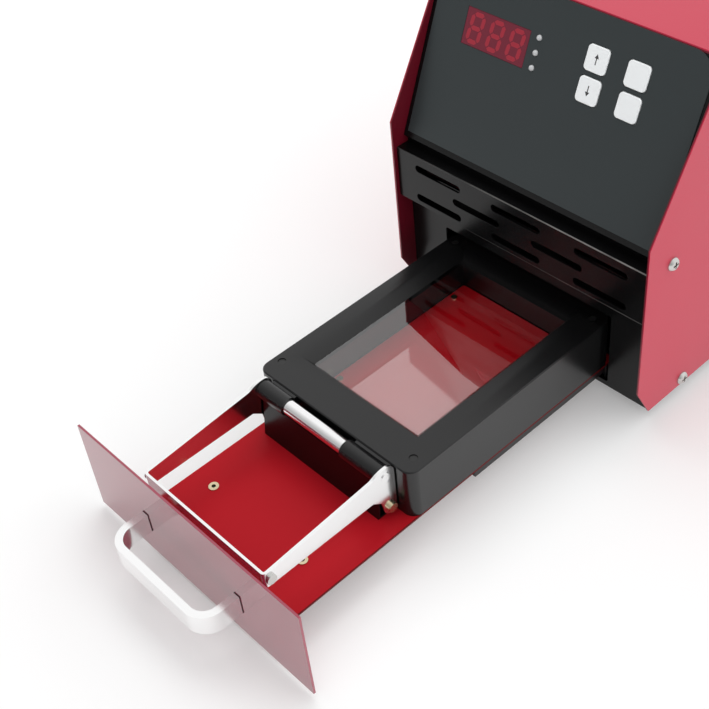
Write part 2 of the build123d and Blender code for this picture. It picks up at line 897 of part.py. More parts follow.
def power_board():
    z0 = deck_z + sheet + post_height
    board = block(board_in, board_out, board_near, board_far, z0, z0 + board_thick)
    for x, y in power_post_spots():
        board -= post(x, y, z0 - 1, z0 + 4, 3.2)
    return board


def power_board_posts():
    base = deck_z + sheet
    group = []
    for x, y in power_post_spots():
        group.append(post(x, y, base, base + post_height, 6.0))
    return group


board_face = deck_z + sheet + post_height + board_thick
core_near = board_near + 24.0
core_length = 32.0
coil_low = board_face + 7.0
coil_high = board_face + 23.0


def trigger_transformer():
    x0 = board_in + 2.0
    x1 = board_out - 2.0
    far = core_near + core_length
    core = block(x0, x1, core_near, far, board_face, board_face + 30.0)
    core -= block(x0 - 1, x0 + 5, core_near + 8, far - 8, coil_low - 1, coil_high + 1)
    core -= block(x1 - 5, x1 + 1, core_near + 8, far - 8, coil_low - 1, coil_high + 1)
    return core


def transformer_winding():
    x0 = board_in + 3.0
    x1 = board_out - 3.0
    y0 = core_near + 9.0
    y1 = core_near + core_length - 9.0
    coil = block(x0, x1, y0, y1, coil_low, coil_high)
    coil -= block(x0 + 3.9, x1 - 3.9, y0 - 1, y1 + 1, coil_low - 1, coil_high + 1)
    return coil.solids()


def heat_sink():
    x0 = board_in + 4.0
    x1 = board_out - 4.0
    near = board_near + 74.0
    far = near + 30.0
    fin = 1.6
    pitch = (x1 - x0 - fin) / 5
    shape = block(x0, x1, near, far, board_face, board_face + 4.0)
    for step in range(6):
        x = x0 + step * pitch
        shape += block(x, x + fin, near, far, board_face + 3.9, board_face + 24.0)
    return shape


def power_inlet():
    y = rear_wall
    x = inlet_across
    z = rear_fit_z
    shape = block(x - 14.0, x + 14.0, y - 22.0, y, z - 10.0, z + 10.0)
    plate = block(x - 25.0, x + 25.0, y, y + flange_thick, z - 12.0, z + 12.0)
    plate = fillet(plate.edges().filter_by(Axis.Y), 4.0)
    shape += plate
    well = block(x - 12.3, x + 12.3, y - 15.0, y + 5, z - 8.2, z + 8.2)
    well = chamfer(well.edges().filter_by(Axis.Y).group_by(Axis.Z)[-1], 5.0)
    shape -= well
    for dx, dz in ((-7.0, -2.0), (0.0, 2.0), (7.0, -2.0)):
        shape += block(x + dx - 1.0, x + dx + 1.0, y - 16.0, y - 2.0, z + dz - 2.0, z + dz + 2.0)
    for dx in (-20.0, 20.0):
        shape -= along_y(x + dx, z, y - 1, y + 5, 3.4)
    return shape


def inlet_screws():
    group = []
    for dx in (-20.0, 20.0):
        x = inlet_across + dx
        screw = along_y(x, rear_fit_z, rear_wall + flange_thick, rear_wall + flange_thick + 1.0, 5.6)
        screw += along_y(x, rear_fit_z, rear_wall, rear_wall + flange_thick + 0.5, 3.2)
        group.append(screw)
    return group


rocker_half_width = 5.0
rocker_half_height = 8.4
rocker_pivot_y = rear_wall - 3.0


def rocker_frame():
    x = rocker_across
    z = rear_fit_z
    shape = block(x - 6.4, x + 6.4, rear_wall - 16.0, rear_wall, z - 9.6, z + 9.6)
    rim = block(x - 7.6, x + 7.6, rear_wall, rear_wall + 1.6, z - 10.8, z + 10.8)
    rim = fillet(rim.edges().filter_by(Axis.Y), 1.2)
    shape += rim
    shape -= block(x - 5.3, x + 5.3, rear_wall - 10.5, rear_wall + 4, z - 8.8, z + 8.8)
    for dx in (-4.0, 4.0):
        shape += block(x + dx - 0.4, x + dx + 0.4, rear_wall - 24.0, rear_wall - 15.5, z - 2.5, z + 2.5)
    return shape


def power_rocker():
    w = rocker_half_width
    r = 16.0
    face = Pos(0, 4.25) * Rectangle(2 * rocker_half_height - 1.4, 4.5)
    bow = Pos(0, 6.5 + math.sqrt(r * r - 49.0) - 0.6) * Circle(r)
    section = face - bow
    hub = Circle(2.6)
    body = extrude(Plane.YZ * (Rot(0, 0, -90) * (section + hub)), amount=w, both=True)
    pose = Pos(rocker_across, rocker_pivot_y, rear_fit_z) * Rot(-rocker_tilt, 0, 0)
    return pose * body


def fuse_holder():
    x = fuse_across
    z = rear_fit_z
    shape = along_y(x, z, rear_wall - 26.0, rear_wall + 1.0, 12.2)
    shape += along_y(x, z, rear_wall, rear_wall + 2.0, 16.0)
    shape -= along_y(x, z, rear_wall - 20.0, rear_wall + 3.0, 9.4)
    return shape


def fuse_cap():
    x = fuse_across
    z = rear_fit_z
    shape = along_y(x, z, rear_wall - 18.0, rear_wall + 2.2, 9.2)
    shape += along_y(x, z, rear_wall + 2.0, rear_wall + 5.0, 12.0)
    shape -= block(x - 4.0, x + 4.0, rear_wall + 4.0, rear_wall + 6.0, z - 0.6, z + 0.6)
    return shape


# The frame's origin is the middle of the outer box, on the table.
box_front = panel_front - grip_reach
box_rear = rear_wall + 5.0
to_origin = Pos(0, -(box_front + box_rear) / 2, foot_height)

pieces = {
    "cover": cover(),
    "front_plate": front_plate(),
    "vent_plate": vent_plate(),
    "panel_overlay": panel_overlay(),
    "display_lens": display_lens(),
    "digit_module": digit_module(),
    "indicator_lights": indicator_lights(),
    "control_board": control_board(),
    "board_posts": board_posts(),
    "push_switches": push_switches(),
    "button_up": button(button_across[0], button_up[1]),
    "button_down": button(button_across[0], button_up[0]),
    "button_pattern": button(button_across[1], button_up[1]),
    "button_start": button(button_across[1], button_up[0]),
    "chassis": chassis(),
    "cover_screws": cover_screws(),
    "rubber_feet": rubber_feet(),
    "tray_plate": tray_plate(),
    "plate_eyelets": plate_eyelets(),
    "front_panel": front_panel(),
    "handle": handle(),
    "handle_spacers": handle_spacers(),
    "handle_screws": handle_screws(),
    "lid_frame": lid_frame(),
    "lid_screws": lid_screws(),
    "lid_glass": lid_glass(),
    "glass_retainer": glass_retainer(),
    "press_bed": press_bed(),
    "bed_pins": bed_pins(),
    "apron_wall": apron_wall(),
    "bearing_left": bearing(-sleeve_outer, sleeve_left_inner),
    "bearing_right": bearing(sleeve_right_inner, sleeve_outer),
    "hinge_rod": hinge_rod(),
    "clamp_yoke": clamp_yoke(),
    "crank_bolts": crank_bolts(),
    "yoke_screws": yoke_screws(),
    "runner_fixed_left": runner_fixed(-1),
    "runner_fixed_right": runner_fixed(1),
    "runner_middle_left": runner_middle(-1),
    "runner_middle_right": runner_middle(1),
    "runner_inner_left": runner_inner(-1),
    "runner_inner_right": runner_inner(1),
    "lamp_deck": lamp_deck(),
    "lamp_pane": lamp_pane(),
    "reflector": reflector(),
    "flash_tubes": flash_tubes(),
    "lamp_holders": lamp_holders(),
    "capacitors": capacitors(),
    "capacitor_clamp": capacitor_clamp(),
    "power_board": power_board(),
    "power_board_posts": power_board_posts(),
    "trigger_transformer": trigger_transformer(),
    "transformer_winding": transformer_winding(),
    "heat_sink": heat_sink(),
    "power_inlet": power_inlet(),
    "inlet_screws": inlet_screws(),
    "rocker_frame": rocker_frame(),
    "power_rocker": power_rocker(),
    "fuse_holder": fuse_holder(),
    "fuse_cap": fuse_cap(),
}

for name, shape in pieces.items():
    if isinstance(shape, (list, ShapeList)):
        solids = []
        for item in shape:
            for solid in item.solids():
                solids.append(to_origin * solid)
        shape = Compound(solids)
    else:
        shape = to_origin * shape
    export_step(shape, "parts/" + name + ".step")
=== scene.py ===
import json
import math

import bmesh
import bpy
from mathutils import Euler, Matrix, Vector


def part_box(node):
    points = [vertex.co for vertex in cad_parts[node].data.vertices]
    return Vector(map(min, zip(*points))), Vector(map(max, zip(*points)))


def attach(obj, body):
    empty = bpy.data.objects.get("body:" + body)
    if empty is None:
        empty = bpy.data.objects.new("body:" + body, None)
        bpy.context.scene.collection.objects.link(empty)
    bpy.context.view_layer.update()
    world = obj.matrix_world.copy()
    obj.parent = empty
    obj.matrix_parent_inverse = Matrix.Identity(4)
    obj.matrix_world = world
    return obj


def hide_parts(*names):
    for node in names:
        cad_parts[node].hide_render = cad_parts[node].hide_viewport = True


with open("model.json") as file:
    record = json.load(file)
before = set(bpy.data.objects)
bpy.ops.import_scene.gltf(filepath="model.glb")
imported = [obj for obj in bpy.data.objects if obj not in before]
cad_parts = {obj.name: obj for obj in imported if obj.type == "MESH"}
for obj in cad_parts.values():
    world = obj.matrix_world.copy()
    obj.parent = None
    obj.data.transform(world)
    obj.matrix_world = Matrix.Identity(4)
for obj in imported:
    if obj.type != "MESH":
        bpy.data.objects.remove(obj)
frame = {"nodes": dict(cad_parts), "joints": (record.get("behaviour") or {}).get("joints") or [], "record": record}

bl_info = {
    "name": "Flash stamp machine",
    "version": (1, 0, 0),
    "blender": (4, 5, 0),
    "location": "3D View > Sidebar > Stamp",
    "description": "Dresses the packed flash stamp machine and sets up its stage",
    "category": "Object",
}

MM = 0.001

# Finishes: clouds and grains per metre, and how deep their detail goes
PAINT_CLOUDS = 22.0
LACQUER_CLOUDS = 30.0
MOULDED_CLOUDS = 60.0
HIGHLIGHT_CLOUDS = 60.0
PAINT_GRAINS = 900.0
METAL_STREAKS = 240.0
STEM_GRAINS = 800.0
COARSE = 2.0
FINE = 3.0
COAT_ROUGHNESS = 0.06
SHEET_ROUGHNESS = 0.24
SHEET_SPECULAR = 0.26
GLASS_IOR = 1.5
GLASS_ROUGHNESS = 0.01
LACQUER_IOR = 2.7

# Meshes: points closer than this are one, and faces within these degrees are one plane or one curve
WELD = 0.01 * MM
PLANE_ANGLE = 1.0
CURVE_ANGLE = 40.0

JOINTS = {joint["name"]: joint for joint in frame["joints"]}
SLOTS = {part["node"]: part["material_slot"] for part in frame["record"]["subparts"]}
BODY_OF = {}
for body_name, body_nodes in frame["record"]["behaviour"]["bodies"].items():
    for node_name in body_nodes:
        BODY_OF[node_name] = body_name

# The bars of one figure, from corner to corner of a square two by two
FIGURE_BARS = (
    ((-1, 1), (1, 1)),
    ((-1, 0), (1, 0)),
    ((-1, -1), (1, -1)),
    ((-1, 1), (-1, 0)),
    ((1, 1), (1, 0)),
    ((-1, 0), (-1, -1)),
    ((1, 0), (1, -1)),
)

# Pan head: its profile in shares of radius and height, and the cross recess in its crown
PAN_PROFILE = (
    (1.0, 0.0),
    (1.0, 0.22),
    (0.96, 0.42),
    (0.86, 0.66),
    (0.76, 0.84),
    (0.68, 0.93),
    (0.62, 0.96),
)
PAN_STEPS = 32
RECESS_ARM = 0.54
RECESS_HALF_WIDTH = 0.13
RECESS_TAPER = 0.8
RECESS_FLOOR = 0.3

# Printed shapes: how far each is sunk into its face, and its whole thickness
PRINT_SUNK = 0.02 * MM
FIGURE_SKIN = 0.05 * MM
ARROW_SKIN = 0.04 * MM

# CAD nodes whose edges are rounded, with the width in millimetres
SOFT_NODES = {
    "cover": 0.3,
    "front_plate": 0.3,
    "lid_frame": 0.45,
    "front_panel": 0.25,
    "handle": 0.5,
    "panel_overlay": 0.1,
    "press_bed": 0.3,
}


class StampColours(bpy.types.PropertyGroup):
    """The paints and finishes a user would change."""

    cover_red: bpy.props.FloatVectorProperty(
        name="Cover red",
        description="Gloss paint of the bent cover",
        subtype="COLOR",
        size=3,
        min=0,
        max=1,
        default=(0.50, 0.010, 0.045),
    )
    tray_red: bpy.props.FloatVectorProperty(
        name="Tray red",
        description="Dull paint of the drawer plate",
        subtype="COLOR",
        size=3,
        min=0,
        max=1,
        default=(0.42, 0.009, 0.016),
    )
    bed_red: bpy.props.FloatVectorProperty(
        name="Bed red",
        description="Mirror-bright lacquer of the press bed",
        subtype="COLOR",
        size=3,
        min=0,
        max=1,
        default=(0.45, 0.005, 0.010),
    )
    panel_red: bpy.props.FloatVectorProperty(
        name="Drawer front red",
        description="Deep glossy paint of the drawer front",
        subtype="COLOR",
        size=3,
        min=0,
        max=1,
        default=(0.30, 0.028, 0.060),
    )
    sheet_black: bpy.props.FloatVectorProperty(
        name="Sheet black",
        description="Satin paint of the front plate, slot plate and chassis",
        subtype="COLOR",
        size=3,
        min=0,
        max=1,
        default=(0.0025, 0.0025, 0.0027),
    )
    lid_black: bpy.props.FloatVectorProperty(
        name="Lid black",
        description="Paint of the glass lid's frame",
        subtype="COLOR",
        size=3,
        min=0,
        max=1,
        default=(0.0045, 0.0045, 0.0048),
    )
    film_grey: bpy.props.FloatVectorProperty(
        name="Panel charcoal",
        description="Satin film on the control panel",
        subtype="COLOR",
        size=3,
        min=0,
        max=1,
        default=(0.028, 0.036, 0.038),
    )
    key_white: bpy.props.FloatVectorProperty(
        name="Key white",
        description="The four key caps",
        subtype="COLOR",
        size=3,
        min=0,
        max=1,
        default=(0.95, 0.98, 0.99),
    )
    window_red: bpy.props.FloatVectorProperty(
        name="Display red",
        description="Tinted window that carries the figures",
        subtype="COLOR",
        size=3,
        min=0,
        max=1,
        default=(0.17, 0.012, 0.030),
    )


class StampSizes(bpy.types.PropertyGroup):
    """Sizes of the small parts that are added to the frame."""

    panel_lean: bpy.props.FloatProperty(
        name="Panel lean",
        description="Angle of the control panel above the horizontal",
        subtype="ANGLE",
        default=math.radians(67.58),
    )
    strap_sheet: bpy.props.FloatProperty(
        name="Strap sheet",
        description="Thickness of the clamp lever's strap",
        unit="LENGTH",
        default=1.5 * MM,
    )
    strap_reach: bpy.props.FloatProperty(
        name="Strap reach",
        description="From the hinge rod's centre to the front of the strap",
        unit="LENGTH",
        default=75.0 * MM,
    )
    strap_low: bpy.props.FloatProperty(
        name="Strap underside",
        description="How far the strap's lower edge lies below the hinge rod's centre",
        unit="LENGTH",
        default=11.7 * MM,
    )
    strap_high: bpy.props.FloatProperty(
        name="Strap top",
        description="How far the strap's front upper edge lies below the hinge rod's centre",
        unit="LENGTH",
        default=2.3 * MM,
    )
    tray_cut: bpy.props.FloatProperty(
        name="Tray step",
        description="Width of the step in the drawer plate's left edge, in front of the lid",
        unit="LENGTH",
        default=6.0 * MM,
    )
    lip_cut: bpy.props.FloatProperty(
        name="Lip step",
        description="How far the drawer plate's rear lip stops short of each side",
        unit="LENGTH",
        default=8.0 * MM,
    )
    arrow_length: bpy.props.FloatProperty(
        name="Arrow length",
        description="Length of the arrow printed on a key",
        unit="LENGTH",
        default=5.2 * MM,
    )
    figure_height: bpy.props.FloatProperty(
        name="Figure height",
        description="Height of one figure of the display",
        unit="LENGTH",
        default=16.2 * MM,
    )
    figure_width: bpy.props.FloatProperty(
        name="Figure width",
        description="Width of one figure of the display",
        unit="LENGTH",
        default=9.4 * MM,
    )
    figure_pitch: bpy.props.FloatProperty(
        name="Figure pitch",
        description="Distance from one figure to the next",
        unit="LENGTH",
        default=13.2 * MM,
    )
    figure_bar: bpy.props.FloatProperty(
        name="Figure bar",
        description="Width of one lit bar of a figure",
        unit="LENGTH",
        default=2.3 * MM,
    )
    screw_head: bpy.props.FloatProperty(
        name="Screw head",
        description="Diameter of the cover's pan heads",
        unit="LENGTH",
        default=7.4 * MM,
    )
    rivet_stem: bpy.props.FloatProperty(
        name="Rivet stem",
        description="Diameter of the dark stem inside each rivet of the drawer plate",
        unit="LENGTH",
        default=2.1 * MM,
    )


class StampStage(bpy.types.PropertyGroup):
    """Camera, lamps and floor."""

    eye: bpy.props.FloatVectorProperty(
        name="Camera place",
        description="Where the camera stands",
        unit="LENGTH",
        size=3,
        default=(0.350675, -0.395911, 0.494485),
    )
    turn: bpy.props.FloatVectorProperty(
        name="Camera turn",
        description="The camera's rotation",
        subtype="EULER",
        size=3,
        default=(math.radians(46.933), math.radians(5.1489), math.radians(46.8791)),
    )
    lens: bpy.props.FloatProperty(
        name="Lens",
        description="Focal length on a 36 mm sensor, in millimetres",
        default=64.97,
    )
    floor_size: bpy.props.FloatProperty(
        name="Floor size",
        description="Side of the square floor",
        unit="LENGTH",
        default=12.0,
    )
    sky: bpy.props.FloatProperty(
        name="Sky",
        description="Strength of the even studio light",
        default=0.85,
    )
    slope_right: bpy.props.FloatProperty(
        name="Slope to the right",
        description="How much brighter the studio is on the right than in the middle",
        default=0.66,
    )
    slope_rear: bpy.props.FloatProperty(
        name="Slope to the rear",
        description="How much brighter the studio is at the rear than in the middle",
        default=0.34,
    )
    key_power: bpy.props.FloatProperty(
        name="Key lamp",
        description="Power of the large lamp above and to the left",
        unit="POWER",
        default=8.2,
    )


class Link:
    """A shader socket that takes part in sums."""

    def __init__(self, recipe, socket):
        self.recipe = recipe
        self.socket = socket

    def maths(self, operation, first, second):
        return self.recipe.node("ShaderNodeMath", {"operation": operation}, {0: first, 1: second})

    def __add__(self, other):
        return self.maths("ADD", self, other)

    def __radd__(self, other):
        return self.maths("ADD", other, self)

    def __sub__(self, other):
        return self.maths("SUBTRACT", self, other)

    def __rsub__(self, other):
        return self.maths("SUBTRACT", other, self)

    def __mul__(self, other):
        return self.maths("MULTIPLY", self, other)

    def __rmul__(self, other):
        return self.maths("MULTIPLY", other, self)

    def __truediv__(self, other):
        return self.maths("DIVIDE", self, other)

    def __rtruediv__(self, other):
        return self.maths("DIVIDE", other, self)


class Recipe:
    """One material, or the world, and the nodes in it."""

    def __init__(self, name, world=None):
        self.material = world or bpy.data.materials.new(name)
        self.material.use_nodes = True
        self.tree = self.material.node_tree
        self.tree.nodes.clear()
        kind = "ShaderNodeOutputWorld" if world else "ShaderNodeOutputMaterial"
        self.output = self.tree.nodes.new(kind)

    def node(self, kind, settings=None, values=None, output=0):
        made = self.tree.nodes.new(kind)
        for key, value in (settings or {}).items():
            setattr(made, key, value)
        for key, value in (values or {}).items():
            self.put(made.inputs[key], value)
        return Link(self, made.outputs[output])

    def put(self, socket, value):
        if isinstance(value, Link):
            self.tree.links.new(value.socket, socket)
            return
        if socket.type == "RGBA" and len(value) == 3:
            value = (*value, 1.0)
        socket.default_value = value

    def ramp(self, factor, stops):
        made = self.tree.nodes.new("ShaderNodeValToRGB")
        points = made.color_ramp.elements
        while len(points) < len(stops):
            points.new(1.0)
        for point, (place, shade) in zip(points, stops):
            point.position = place
            point.color = (shade, shade, shade, 1.0)
        self.put(made.inputs[0], factor)
        return Link(self, made.outputs[0])

    def place(self):
        return self.node("ShaderNodeTexCoord", output="Object")

    def axes(self):
        """The three parts of a place on the object."""
        where = self.place()
        return [self.node("ShaderNodeSeparateXYZ", None, {0: where}, output=axis) for axis in "XYZ"]

    def noise(self, scale, detail=2.0, stretch=(1.0, 1.0, 1.0)):
        where = self.node("ShaderNodeMapping", None, {"Vector": self.place(), "Scale": stretch})
        values = {"Vector": where, "Scale": scale, "Detail": detail}
        return self.node("ShaderNodeTexNoise", None, values, output="Fac")

    def bump(self, height, strength, distance):
        values = {"Height": height, "Strength": strength, "Distance": distance}
        return self.node("ShaderNodeBump", None, values, output="Normal")

    def shader(self, **values):
        named = {key.replace("_", " "): value for key, value in values.items()}
        return self.node("ShaderNodeBsdfPrincipled", None, named)

    def finish(self, shader):
        self.put(self.output.inputs["Surface"], shader)
        return self.material


def uneven(recipe, roughness):
    """A roughness that wanders slowly over a sprayed face."""
    steady = roughness * 0.85
    swing = roughness * 0.3
    return steady + recipe.noise(PAINT_CLOUDS, FINE) * swing


def paint(name, colour, roughness, coat=0.0, specular=0.5, grain=0.0):
    """Sprayed or baked paint with a slight unevenness in its gloss."""
    recipe = Recipe(name)
    values = {
        "Base_Color": colour,
        "Roughness": uneven(recipe, roughness),
        "Coat_Weight": coat,
        "Coat_Roughness": COAT_ROUGHNESS,
        "Specular_IOR_Level": specular,
    }
    if grain > 0:
        grain_height = 0.2 * MM
        values["Normal"] = recipe.bump(recipe.noise(PAINT_GRAINS, COARSE), grain, grain_height)
    return recipe.finish(recipe.shader(**values))


def mirror_paint(name, colour):
    """Wet-looking lacquer that mirrors the room like a polished sheet."""
    least = 0.03
    swing = 0.04
    recipe = Recipe(name)
    roughness = recipe.noise(LACQUER_CLOUDS, FINE) * swing + least
    return recipe.finish(recipe.shader(Base_Color=colour, Roughness=roughness, IOR=LACQUER_IOR))


def band(recipe, value, low, high):
    """One between two places along an axis, and nought outside them."""
    over = recipe.node("ShaderNodeMath", {"operation": "GREATER_THAN"}, {0: value, 1: low})
    under = recipe.node("ShaderNodeMath", {"operation": "LESS_THAN"}, {0: value, 1: high})
    return over * under


def blend_colour(recipe, mask, first, last):
    """First where the mask is nought, last where it is one."""
    return recipe.node("ShaderNodeMix", {"data_type": "RGBA"}, {0: mask, 6: first, 7: last}, output=2)


def cover_paint(colour, roughness, coat):
    """Gloss red outside; on the inner faces of the sheet the red is darkened as painted shade, and dull without
    the coat.
    """
    skin = 0.5 * MM
    shade_share = 0.30
    dulling = 0.12
    low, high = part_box("cover")
    recipe = Recipe("cover_paint")
    x, y, z = recipe.axes()
    inner = band(recipe, x, low[0] + skin, high[0] - skin)
    inner = inner * band(recipe, z, low[2] - skin, high[2] - skin)
    inner = inner * band(recipe, y, low[1] - skin, high[1] - skin)
    # Painted shade: the inner faces get a darker copy of the red
    shaded_colour = [share * shade_share for share in colour]
    values = {
        "Base_Color": blend_colour(recipe, inner, colour, shaded_colour),
        "Roughness": inner * dulling + uneven(recipe, roughness),
        "Coat_Weight": (1.0 - inner) * coat,
        "Coat_Roughness": COAT_ROUGHNESS,
    }
    return recipe.finish(recipe.shader(**values))


def tray_paint(colour, roughness):
    """Dull red, darkened on the plate's long cut edges as painted shade."""
    edge_width = 0.3 * MM
    shade_share = 0.25
    specular = 0.08
    low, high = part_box("tray_plate")
    recipe = Recipe("tray_paint")
    across = recipe.axes()[0]
    edge = 1.0 - band(recipe, across, low[0] + edge_width, high[0] - edge_width)
    # Painted shade: the long cut edges get a darker copy of the red
    shaded_colour = [share * shade_share for share in colour]
    values = {
        "Base_Color": blend_colour(recipe, edge, colour, shaded_colour),
        "Roughness": uneven(recipe, roughness),
        "Specular_IOR_Level": specular,
    }
    return recipe.finish(recipe.shader(**values))


def slot_plate_paint(colour, roughness):
    """Satin black, with a painted highlight in grey along the plate's two folded front edges."""
    wide = 0.5 * MM
    foot_share = 0.45
    highlight_grey = (0.26, 0.26, 0.25)
    low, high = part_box("vent_plate")
    recipe = Recipe("slot_plate_paint")
    x, y, z = recipe.axes()
    fold = band(recipe, y, low[1] - wide, low[1] + wide)
    top = fold * band(recipe, z, high[2] - wide, high[2] + wide)
    foot = fold * band(recipe, z, low[2] - wide, low[2] + wide)
    patchy = recipe.ramp(recipe.noise(HIGHLIGHT_CLOUDS, FINE), ((0.30, 0.35), (0.60, 1.0)))
    right = recipe.ramp((x - low[0]) / (high[0] - low[0]), ((0.25, 0.12), (0.80, 1.0)))
    # Painted highlight: grey along the top fold, less along the foot, patchy and stronger to the right
    painted_highlight = (top + foot * foot_share) * patchy * right
    values = {
        "Base_Color": blend_colour(recipe, painted_highlight, colour, highlight_grey),
        "Roughness": uneven(recipe, roughness),
        "Specular_IOR_Level": SHEET_SPECULAR,
    }
    return recipe.finish(recipe.shader(**values))


def metal(name, colour, roughness, stretch=(1.0, 1.0, 1.0), grain=0.05):
    """Bare or plated metal, with streaks along the axis whose scale is small."""
    steady = roughness * 0.8
    swing = roughness * 0.4
    streak_height = 0.1 * MM
    recipe = Recipe(name)
    streak = recipe.noise(METAL_STREAKS, FINE, stretch)
    gloss = steady + streak * swing
    normal = recipe.bump(streak, grain, streak_height)
    shader = recipe.shader(Base_Color=colour, Metallic=1.0, Roughness=gloss, Normal=normal)
    return recipe.finish(shader)


def pane(name, tint, mirror):
    """Thin clear pane: straight through, with a mirror's share on top."""
    recipe = Recipe(name)
    through = recipe.node("ShaderNodeBsdfTransparent", None, {"Color": tint})
    gleam = recipe.node("ShaderNodeBsdfGlossy", None, {"Color": (1, 1, 1), "Roughness": GLASS_ROUGHNESS})
    inside = recipe.node("ShaderNodeNewGeometry", output="Backfacing")
    share = recipe.node("ShaderNodeFresnel", None, {"IOR": GLASS_IOR})
    share = (share + mirror) * (1.0 - inside)
    both = recipe.node("ShaderNodeMixShader", None, {0: share, 1: through, 2: gleam})
    return recipe.finish(both)


def plastic(name, colour, roughness, coat=0.0):
    """Moulded plastic, and what else has no grain: rubber, boards, lenses and ceramic."""
    steady = roughness * 0.9
    swing = roughness * 0.2
    recipe = Recipe(name)
    gloss = steady + recipe.noise(MOULDED_CLOUDS, COARSE) * swing
    return recipe.finish(recipe.shader(Base_Color=colour, Roughness=gloss, Coat_Weight=coat))


def finishes():
    """Every material slot of the frame, made once."""
    colours = bpy.context.scene.stamp_colours
    across = (0.05, 1.0, 1.0)
    along = (1.0, 0.05, 1.0)
    return {
        "red_cover": cover_paint(colours.cover_red, 0.30, coat=0.20),
        "red_tray": tray_paint(colours.tray_red, 0.30),
        "red_panel": paint("drawer_front_paint", colours.panel_red, 0.10, coat=0.8),
        "black_sheet": paint(
            "sheet_paint", colours.sheet_black, SHEET_ROUGHNESS, specular=SHEET_SPECULAR, grain=0.05
        ),
        "black_casting": paint("lid_paint", colours.lid_black, 0.25, specular=0.5, grain=0.05),
        "panel_film": paint("panel_film", colours.film_grey, 0.36, specular=0.4),
        "white_keys": plastic("key_cap", colours.key_white, 0.35),
        "red_lens": plastic("display_window", colours.window_red, 0.18),
        "black_plastic": plastic("moulded_black", (0.012, 0.012, 0.012), 0.40),
        "lamp_lens": plastic("lamp_lens", (0.56, 0.57, 0.58), 0.25),
        "board": plastic("circuit_board", (0.02, 0.16, 0.07), 0.35, coat=0.4),
        "steel": metal("plain_steel", (0.60, 0.61, 0.62), 0.30, along),
        "nickel": metal("nickel_plate", (0.93, 0.93, 0.93), 0.16, across),
        "screw": metal("screw_plate", (0.64, 0.64, 0.62), 0.24),
        "bar": metal("handle_aluminium", (0.96, 0.96, 0.96), 0.16, across),
        "brass": metal("brass", (0.70, 0.60, 0.40), 0.25),
        "clear": pane("clear_glass", (0.97, 0.98, 0.98), 0.10),
        "polished": metal("polished_reflector", (0.90, 0.90, 0.90), 0.08),
        "rubber": plastic("rubber", (0.015, 0.015, 0.015), 0.70),
        "runner": paint("runner_zinc", (0.010, 0.010, 0.011), 0.35, specular=0.4),
        "can": plastic("capacitor_sleeve", (0.02, 0.04, 0.12), 0.30),
        "copper": metal("enamelled_copper", (0.60, 0.28, 0.13), 0.30),
        "ceramic": plastic("ceramic", (0.80, 0.78, 0.72), 0.50),
    }


def even_normals(mesh, limit):
    """Keeps large faces flat and blends the rounded edges into them."""
    cosine = math.cos(math.radians(limit))
    around = [[] for _ in mesh.vertices]
    for face in mesh.polygons:
        for index in face.vertices:
            around[index].append(face)
    normals = []
    for face in mesh.polygons:
        for index in face.vertices:
            total = Vector()
            for other in around[index]:
                if face.normal.dot(other.normal) > cosine:
                    total += other.normal * other.area
            normals.append(total.normalized())
    mesh.shade_smooth()
    mesh.normals_split_custom_set(normals)


def new_piece(name, shape, body, replaces=(), material=None):
    """Turns a bmesh into a finished object that rides on a body.

    A piece that stands for a CAD node has that node's finish, unless a material is given.
    """
    mesh = bpy.data.meshes.new(name)
    bmesh.ops.recalc_face_normals(shape, faces=shape.faces)
    shape.to_mesh(mesh)
    shape.free()
    mesh.materials.append(material or frame["nodes"][replaces[0]].data.materials[0])
    piece = bpy.data.objects.new(name, mesh)
    bpy.context.scene.collection.objects.link(piece)
    even_normals(mesh, CURVE_ANGLE)
    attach(piece, body)
    if replaces:
        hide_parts(*replaces)
    return piece


def panel_matrix(place, lean):
    """Right, up the panel and out of it, at a place."""
    up = Vector((0.0, math.cos(lean), math.sin(lean)))
    right = Vector((1.0, 0.0, 0.0))
    out = right.cross(up)
    turn = Matrix((right, up, out)).transposed().to_4x4()
    return Matrix.Translation(place) @ turn


def add_shape(shape, other):
    """Puts a second solid into the same piece."""
    mesh = bpy.data.meshes.new("part")
    other.to_mesh(mesh)
    other.free()
    shape.from_mesh(mesh)
    bpy.data.meshes.remove(mesh)


def add_flat(shape, points, base, height, matrix):
    """A flat outline in the matrix's own plane, raised by a height."""
    corners = [shape.verts.new(matrix @ Vector((x, y, base))) for x, y in points]
    face = shape.faces.new(corners)
    made = bmesh.ops.extrude_face_region(shape, geom=[face])
    lifted = [item for item in made["geom"] if isinstance(item, bmesh.types.BMVert)]
    bmesh.ops.translate(shape, verts=lifted, vec=matrix.to_3x3() @ Vector((0.0, 0.0, height)))


def islands(piece):
    """The point lists of the separate solids in a CAD node."""
    shape = bmesh.new()
    shape.from_mesh(piece.data)
    bmesh.ops.remove_doubles(shape, verts=shape.verts, dist=WELD)
    unseen = set(shape.verts)
    groups = []
    while unseen:
        stack = [unseen.pop()]
        group = []
        while stack:
            vert = stack.pop()
            group.append(vert.co.copy())
            for edge in vert.link_edges:
                other = edge.other_vert(vert)
                if other in unseen:
                    unseen.discard(other)
                    stack.append(other)
        groups.append(group)
    shape.free()
    return groups


